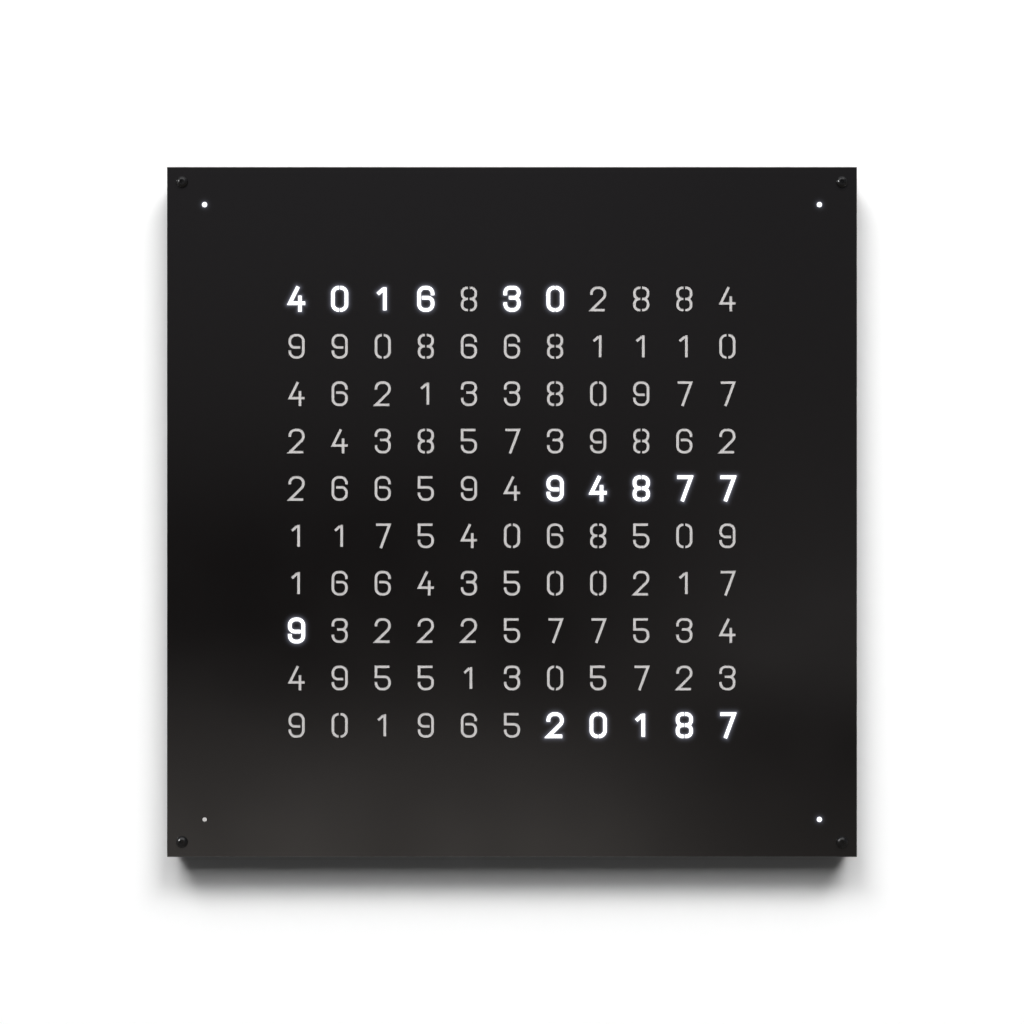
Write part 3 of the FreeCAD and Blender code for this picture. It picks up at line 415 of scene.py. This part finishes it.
def surface(name, dark, light, grain_mm, rough, relief_mm=0.0, stretch=(1, 1, 1), **settings):
    """A procedural surface, as (material, tree, shader, Object coordinates).

    One noise with grains of a real size runs the colour from dark to light, the roughness over its range,
    and the relief. More settings go to the shader by socket name, with spaces as underscores.
    """
    material, tree = empty_material(name)
    coords = add(tree, "ShaderNodeTexCoord").outputs["Object"]
    scale = [k / (grain_mm * 0.001) for k in stretch]
    shape = add(tree, "ShaderNodeMapping", {"Scale": scale}, {"Vector": coords})
    settled = {"Scale": 1.0, "Detail": 3.0, "Roughness": 0.6}
    noise = add(tree, "ShaderNodeTexNoise", settled, {"Vector": shape.outputs[0]}).outputs["Fac"]
    span = {"From Min": 0.3, "From Max": 0.7, "To Min": rough[0], "To Max": rough[1]}
    gloss = add(tree, "ShaderNodeMapRange", span, {"Value": noise})
    colour = add(tree, "ShaderNodeMix", {6: dark, 7: light}, {0: noise}, data_type="RGBA")
    shader = add(
        tree,
        "ShaderNodeBsdfPrincipled",
        {key.replace("_", " "): value for key, value in settings.items()},
        {"Base Color": colour.outputs[2], "Roughness": gloss.outputs[0]},
    )
    if relief_mm:
        relief = {"Strength": 0.6, "Distance": relief_mm * 0.001}
        bump = add(tree, "ShaderNodeBump", relief, {"Height": noise})
        tree.links.new(bump.outputs[0], shader.inputs["Normal"])
    add(tree, "ShaderNodeOutputMaterial", links={"Surface": shader.outputs[0]})
    return material, tree, shader, coords


def dress(material, *names):
    """Gives frame nodes a material in place of the one they came with."""
    for name in names:
        nodes[name].data.materials.clear()
        nodes[name].data.materials.append(material)


def black_coat_and_painted_halo_material():
    """Satin black coat on steel: near black, a faint grain, smudges in its gloss, and a painted halo glow
    round the figures.
    """
    material, tree, shader, coords = surface(
        "satin black powder coat on steel with painted halo glow", "0B0A0A", "141212", 1.1, (0.13, 0.15), 0.002, IOR=1.5
    )
    broad = {"Scale": 9.0, "Detail": 2.0}
    smudge = add(tree, "ShaderNodeTexNoise", broad, {"Vector": coords})
    span = {"From Min": 0.35, "From Max": 0.7, "To Min": 0.09, "To Max": 0.14}
    gloss = add(tree, "ShaderNodeMapRange", span, {"Value": smudge.outputs["Fac"]})
    tree.links.new(gloss.outputs[0], shader.inputs["Roughness"])
    # Painted glow: the coat emits a bluish white light round the lit figures, standing in for their spilled
    # light.
    halo = add(tree, "ShaderNodeAttribute", attribute_name="halo").outputs["Fac"]
    tint = add(tree, "ShaderNodeMix", {6: "D6DAF2", 7: "FFFFFF"}, {0: halo}, data_type="RGBA")
    shine = {0: tint.outputs[2], "Scale": halo}
    light = add(tree, "ShaderNodeVectorMath", links=shine, operation="SCALE")
    tree.links.new(light.outputs[0], shader.inputs["Emission Color"])
    shader.inputs["Emission Strength"].default_value = 1.0
    return material


panel = panel_piece()
panel.data.materials.append(black_coat_and_painted_halo_material())
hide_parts("front_panel")
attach(panel, "case")

# The face's four button-head screws: blackened steel, glossier than the coat, so that each shows only as a
# glint and a dark crescent. Their inserts are turned brass, with fine rings.
dress(surface("blackened steel", "060606", "0A0A0B", 0.4, (0.22, 0.3), 0.002, IOR=1.45)[0], "panel_screws")
brass = surface("turned brass", "C79A4B", "DDB565", 0.5, (0.25, 0.4), 0.004, (1, 6, 1), Metallic=1.0)[0]
dress(brass, "panel_inserts", "power_pin", "board_standoffs")

# The diffuser: a sheet of opal acrylic, moulded with raised figures that fill the panel's cuts almost
# flush. Unlit it is a light grey. In the lit cells and minute holes it glows white.
LIT_STRENGTH = 3.0


def lit_mask(tree, coords):
    """1 inside the lit cells and round the lit minute holes, 0 elsewhere, from X and Z alone."""
    split = add(tree, "ShaderNodeSeparateXYZ", links={0: coords})
    total = None
    for x0, x1, z0, z1, _ in lit_boxes():
        bands = []
        for socket, low, high in (("X", x0, x1), ("Z", z0, z1)):
            reach = {1: (low + high) / 2, 2: (high - low) / 2}
            bands.append(add(tree, "ShaderNodeMath", reach, {0: split.outputs[socket]}, operation="COMPARE"))
        both = {0: bands[0].outputs[0], 1: bands[1].outputs[0]}
        within = add(tree, "ShaderNodeMath", links=both, operation="MULTIPLY").outputs[0]
        if total is not None:
            within = add(tree, "ShaderNodeMath", links={0: total, 1: within}, operation="MAXIMUM").outputs[0]
        total = within
    return total


def glow_where_lit(tree, shader, coords, colour, strength):
    """Lets a shader shine in a colour in the lit places, and nowhere else."""
    lit = {0: lit_mask(tree, coords)}
    glow = add(tree, "ShaderNodeMix", {6: "000000", 7: colour}, lit, data_type="RGBA")
    tree.links.new(glow.outputs[2], shader.inputs["Emission Color"])
    shader.inputs["Emission Strength"].default_value = strength


def opal_material():
    """Opal acrylic: milky grey with a faint mottle, and bright white where a lamp is on behind it."""
    material, tree, shader, coords = surface(
        "opal acrylic", "B5B3B2", "C4C1C0", 3.0, (0.4, 0.5), IOR=1.49, Specular_IOR_Level=0.3
    )
    glow_where_lit(tree, shader, coords, "F6F8FF", LIT_STRENGTH)
    return material


dress(opal_material(), "diffuser_sheet")

# The light grid and the tubes of the minute lights: matt white mouldings that keep each lamp behind its own
# figure. A fine spark-eroded texture takes the shine off them.
white_moulding = surface("white moulding", "D9D9D5", "E6E6E3", 0.3, (0.5, 0.65), 0.01, IOR=1.5)[0]
CORNERS = ("top_left", "top_right", "bottom_left", "bottom_right")
dress(white_moulding, "light_grid", *[f"minute_tube_{corner}" for corner in CORNERS])

# The lamps and their boards. White solder mask shows paler copper tracks under it, in a pattern of runs at
# the real track pitch. Each lamp is a white package round a yellow phosphor, bright where its figure is lit.
PHOSPHOR_RADIUS = 0.0016
LAMP_STRENGTH = 1.5


def paint_over(tree, shader, mask, colour):
    """Lays a colour over the shader's own where the mask is 1."""
    base = shader.inputs["Base Color"].links[0].from_socket
    mixed = add(tree, "ShaderNodeMix", {7: colour}, {0: mask, 6: base}, data_type="RGBA")
    tree.links.new(mixed.outputs[2], shader.inputs["Base Color"])


def board_material(name, mask_dark, mask_light, track, track_mm):
    """Solder mask over copper tracks: the tracks are the joints of a running bond, slightly raised."""
    material, tree, shader, coords = surface(name, mask_dark, mask_light, 0.8, (0.25, 0.35), IOR=1.5)
    split = add(tree, "ShaderNodeSeparateXYZ", links={0: coords})
    face = add(tree, "ShaderNodeCombineXYZ", links={0: split.outputs["X"], 1: split.outputs["Z"]})
    sizes = {
        "Scale": 1 / (track_mm * 0.001),
        "Mortar Size": 0.07,
        "Mortar Smooth": 0.1,
        "Brick Width": 3.7,
        "Row Height": 0.9,
    }
    runs = add(tree, "ShaderNodeTexBrick", sizes, {"Vector": face.outputs[0]}, offset=0.37, squash=0.6)
    paint_over(tree, shader, runs.outputs["Fac"], track)
    relief = {"Strength": 0.5, "Distance": 0.00004}
    bump = add(tree, "ShaderNodeBump", relief, {"Height": runs.outputs["Fac"]})
    tree.links.new(bump.outputs[0], shader.inputs["Normal"])
    return material


def lamp_material(name, pitch_x, pitch_z, shift_z):
    """White lamp packages with a round yellow phosphor at the middle of each pitch."""
    material, tree, shader, coords = surface(name, "E6E4DA", "F0EEE6", 0.4, (0.2, 0.3), IOR=1.5)
    split = add(tree, "ShaderNodeSeparateXYZ", links={0: coords})
    moved = add(tree, "ShaderNodeMath", {1: shift_z}, {0: split.outputs["Z"]}).outputs[0]
    offsets = {}
    for place, source, pitch in ((0, split.outputs["X"], pitch_x), (1, moved, pitch_z)):
        wrapped = add(tree, "ShaderNodeMath", {1: pitch / 2, 2: -pitch / 2}, {0: source}, operation="WRAP")
        offsets[place] = wrapped.outputs[0]
    plane = add(tree, "ShaderNodeCombineXYZ", links=offsets)
    away = add(tree, "ShaderNodeVectorMath", links={0: plane.outputs[0]}, operation="LENGTH")
    rim = {1: PHOSPHOR_RADIUS}
    disc = add(tree, "ShaderNodeMath", rim, {0: away.outputs["Value"]}, operation="LESS_THAN")
    paint_over(tree, shader, disc.outputs[0], "E8D36A")
    glow_where_lit(tree, shader, coords, "FFFBEF", LAMP_STRENGTH)
    return material


white_board = board_material("white solder mask", "D6D8D6", "E2E4E2", "C9CDC6", 1.6)
dress(white_board, *[f"lamp_strip_{k + 1:02d}" for k in range(ROWS)])
dress(white_board, *[f"minute_board_{corner}" for corner in CORNERS])
dress(lamp_material("row lamps", column_pitch, row_pitch, row_pitch / 2), "row_lamps")
dress(lamp_material("minute lamps", 2 * minute_x, 2 * minute_z, minute_z), "minute_lamps")

# The wiring: a flat grey ribbon whose cores show as ridges, with a red first core, black rubber leads, and
# natural nylon for the plugs, sockets and saddles. The wave texture multiplies its scale by a fixed factor.
CORE_PITCH = 0.00127
WAVE_FACTOR = 20
CORE_PERIOD_SCALE = 2 * math.pi / (WAVE_FACTOR * CORE_PITCH)
ribbon_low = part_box("lamp_ribbon")[0]


def ribbon_material():
    """Grey ribbon cable: a ridge for each core across its width, and its first core red."""
    material, tree, shader, coords = surface("ribbon cable", "9A9CA0", "ABADB1", 0.6, (0.45, 0.55), IOR=1.5)
    ridges = add(tree, "ShaderNodeTexWave", {"Scale": CORE_PERIOD_SCALE}, {"Vector": coords})
    relief = {"Strength": 0.8, "Distance": 0.0002}
    bump = add(tree, "ShaderNodeBump", relief, {"Height": ridges.outputs["Fac"]})
    tree.links.new(bump.outputs[0], shader.inputs["Normal"])
    split = add(tree, "ShaderNodeSeparateXYZ", links={0: coords})
    edge = {1: ribbon_low.x + CORE_PITCH}
    first = add(tree, "ShaderNodeMath", edge, {0: split.outputs["X"]}, operation="LESS_THAN")
    paint_over(tree, shader, first.outputs[0], "B0322B")
    return material


dress(ribbon_material(), "lamp_ribbon")
lead_rubber = surface("black rubber jacket", "18181A", "202022", 0.5, (0.5, 0.65), 0.01, IOR=1.5)[0]
dress(lead_rubber, *[f"minute_lead_{corner}" for corner in CORNERS])
nylon = surface("natural nylon", "D8D3C4", "E4DFD2", 0.7, (0.35, 0.5), 0.006, IOR=1.53)[0]
dress(nylon, "ribbon_connectors", "lead_sockets", "lead_clips")

# The frame: rails of board under black lacquer, in which a faint grain and orange peel still show, joined
# by beech dowels with a long straight grain.
ALONG_X = (0.15, 1, 1)
lacquer = surface("black lacquered board", "131212", "1B1A1A", 1.4, (0.3, 0.42), 0.02, ALONG_X, IOR=1.5)[0]
dress(lacquer, "rail_top", "rail_bottom", "rail_left", "rail_right")
beech = surface("beech", "B98D5C", "D2A878", 0.9, (0.5, 0.65), 0.02, (1, 1, 0.08), IOR=1.5)[0]
dress(beech, "frame_dowels")

# The back: sheet steel in a coarse black powder coat, zinc plated screws and hanger cups with the cloudy
# blue-grey of bright zinc, and soft aluminium rivets.
back_coat = surface("textured black powder coat", "1D1D1E", "2A2A2C", 0.7, (0.55, 0.7), 0.06, IOR=1.45)[0]
dress(back_coat, "back_panel")
zinc = surface("bright zinc plate", "A9ADB4", "C9CCD1", 1.6, (0.25, 0.42), 0.003, Metallic=1.0)[0]
dress(zinc, "back_screws", "module_screws", "board_screws", "hanger_cup_left", "hanger_cup_right")
aluminium = surface("soft aluminium", "C9C9CB", "DADADC", 0.5, (0.3, 0.45), 0.004, Metallic=1.0)[0]
dress(aluminium, "hanger_rivets", "timing_crystal")

# The power inlet: a moulded recess with a spark-eroded texture, and a jack that shows a soft shine. The
# switches and the cell's holder are of the jack's smoother plastic.
recess_plastic = surface("textured black moulding", "1A1A1B", "242425", 0.5, (0.5, 0.62), 0.03, IOR=1.5)[0]
dress(recess_plastic, "power_recess")
jack_plastic = surface("smooth black moulding", "151516", "1C1C1D", 0.8, (0.3, 0.4), 0.004, IOR=1.5)[0]
dress(jack_plastic, "power_jack", "button_switches", "cell_holder")

# The control board: green solder mask over finer tracks, matt resin chips, a brushed steel cell, and
# capacitors whose sleeves leave their aluminium tops bare.
TOP_FACING = -0.7


def capacitor_material():
    """A dark blue sleeve all round, and bare aluminium on the end that faces forward."""
    material, tree, shader, _ = surface("capacitor sleeve", "1B2347", "252E57", 0.6, (0.2, 0.3), IOR=1.5)
    facing = add(tree, "ShaderNodeNewGeometry").outputs["True Normal"]
    forward = add(tree, "ShaderNodeSeparateXYZ", links={0: facing}).outputs["Y"]
    top = add(tree, "ShaderNodeMath", {1: TOP_FACING}, {0: forward}, operation="LESS_THAN").outputs[0]
    paint_over(tree, shader, top, "C9C9CC")
    tree.links.new(top, shader.inputs["Metallic"])
    return material


dress(board_material("green solder mask", "0C4A2A", "115634", "1F7A4C", 0.9), "control_board")
dress(surface("chip resin", "1A1A1B", "232324", 0.25, (0.5, 0.62), 0.008, IOR=1.55)[0], "board_chips")
dress(capacitor_material(), "capacitors")
BRUSHED = (0.1, 1, 1)
steel = surface("brushed cell steel", "B4B4B2", "CFCFCD", 0.5, (0.2, 0.35), 0.003, BRUSHED, Metallic=1.0)[0]
dress(steel, "back_up_cell")

# The four set buttons: mid-grey moulded caps that slide in the back. They are finely textured, and paler
# than the coat, so that they stand out from it.
button_plastic = surface("grey moulded cap", "747476", "828284", 0.35, (0.4, 0.52), 0.01, IOR=1.5)[0]
dress(button_plastic, "hour_button", "minute_button", "brightness_button", "mode_button")
